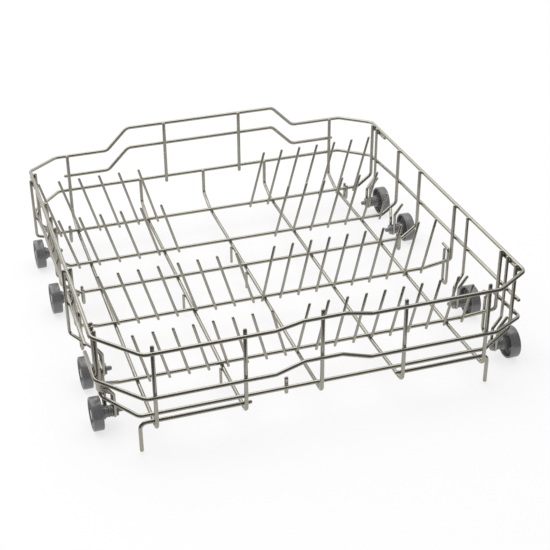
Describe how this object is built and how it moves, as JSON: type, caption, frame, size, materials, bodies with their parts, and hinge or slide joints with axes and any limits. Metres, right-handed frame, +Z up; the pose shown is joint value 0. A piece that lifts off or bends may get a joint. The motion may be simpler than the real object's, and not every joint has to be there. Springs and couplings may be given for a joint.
{
  "type": "dishwasher basket",
  "caption": "Lower dishwasher basket of welded coated wire with leaning plate tines, front feet and clip-on wheels that roll on the tub rails.",
  "frame": {"origin": "on the floor under the wheels, at the middle of the basket's outline", "axes": "+X to the basket's right seen from the front, +Y to the back, +Z up"},
  "size_m": [0.537, 0.5468, 0.163],
  "materials": {
    "coated_wire": "satin",
    "wheel_plastic": "satin",
    "hub_plastic": "satin"
  },
  "bodies": {
    "frame": {"carrier_left_1": "coated_wire", "carrier_left_2": "coated_wire", "carrier_left_3": "coated_wire", "carrier_left_4": "coated_wire", "carrier_right_1": "coated_wire", "carrier_right_2": "coated_wire", "carrier_right_3": "coated_wire", "carrier_right_4": "coated_wire", "cross_wire_1": "coated_wire", "cross_wire_2": "coated_wire", "cross_wire_3": "coated_wire", "cross_wire_4": "coated_wire", "cross_wire_5": "coated_wire", "foot_wire_left": "coated_wire", "foot_wire_right": "coated_wire", "front_ring": "coated_wire", "front_stub": "coated_wire", "hook_left_1": "coated_wire", "hook_left_2": "coated_wire", "hook_left_3": "coated_wire", "hook_left_4": "coated_wire", "hook_right_1": "coated_wire", "hook_right_2": "coated_wire", "hook_right_3": "coated_wire", "hook_right_4": "coated_wire", "hub_left_1": "hub_plastic", "hub_left_2": "hub_plastic", "hub_left_3": "hub_plastic", "hub_left_4": "hub_plastic", "hub_right_1": "hub_plastic", "hub_right_2": "hub_plastic", "hub_right_3": "hub_plastic", "hub_right_4": "hub_plastic", "long_wire_1": "coated_wire", "long_wire_2": "coated_wire", "long_wire_3": "coated_wire", "long_wire_4": "coated_wire", "long_wire_5": "coated_wire", "lower_front_rail": "coated_wire", "middle_ring": "coated_wire", "rear_bar_left": "coated_wire", "rear_bar_right": "coated_wire", "rear_rail": "coated_wire", "tines_front_left": "coated_wire", "tines_front_right": "coated_wire", "tines_rear_left": "coated_wire", "tines_rear_right": "coated_wire", "tines_second_left": "coated_wire", "tines_second_right": "coated_wire", "tines_third_left": "coated_wire", "tines_third_right": "coated_wire", "top_rim": "coated_wire"},
    "wheel_left_1": {"wheel_left_1": "wheel_plastic"},
    "wheel_left_2": {"wheel_left_2": "wheel_plastic"},
    "wheel_left_3": {"wheel_left_3": "wheel_plastic"},
    "wheel_left_4": {"wheel_left_4": "wheel_plastic"},
    "wheel_right_1": {"wheel_right_1": "wheel_plastic"},
    "wheel_right_2": {"wheel_right_2": "wheel_plastic"},
    "wheel_right_3": {"wheel_right_3": "wheel_plastic"},
    "wheel_right_4": {"wheel_right_4": "wheel_plastic"}
  },
  "joints": [
    {"name": "roll_left_1", "type": "hinge", "parent": "frame", "child": "wheel_left_1", "pos_m": [-0.26225, 0.193, 0.0203], "axis": [1, 0, 0], "continuous": true},
    {"name": "roll_left_2", "type": "hinge", "parent": "frame", "child": "wheel_left_2", "pos_m": [-0.26075, 0.067, 0.0203], "axis": [1, 0, 0], "continuous": true},
    {"name": "roll_left_3", "type": "hinge", "parent": "frame", "child": "wheel_left_3", "pos_m": [-0.25475, -0.115, 0.0203], "axis": [1, 0, 0], "continuous": true},
    {"name": "roll_left_4", "type": "hinge", "parent": "frame", "child": "wheel_left_4", "pos_m": [-0.25825, -0.2, 0.0203], "axis": [1, 0, 0], "continuous": true},
    {"name": "roll_right_1", "type": "hinge", "parent": "frame", "child": "wheel_right_1", "pos_m": [0.25825, 0.19, 0.0203], "axis": [1, 0, 0], "continuous": true},
    {"name": "roll_right_2", "type": "hinge", "parent": "frame", "child": "wheel_right_2", "pos_m": [0.25975, 0.1, 0.0203], "axis": [1, 0, 0], "continuous": true},
    {"name": "roll_right_3", "type": "hinge", "parent": "frame", "child": "wheel_right_3", "pos_m": [0.25925, -0.113, 0.0203], "axis": [1, 0, 0], "continuous": true},
    {"name": "roll_right_4", "type": "hinge", "parent": "frame", "child": "wheel_right_4", "pos_m": [0.26225, -0.217, 0.0203], "axis": [1, 0, 0], "continuous": true}
  ]
}
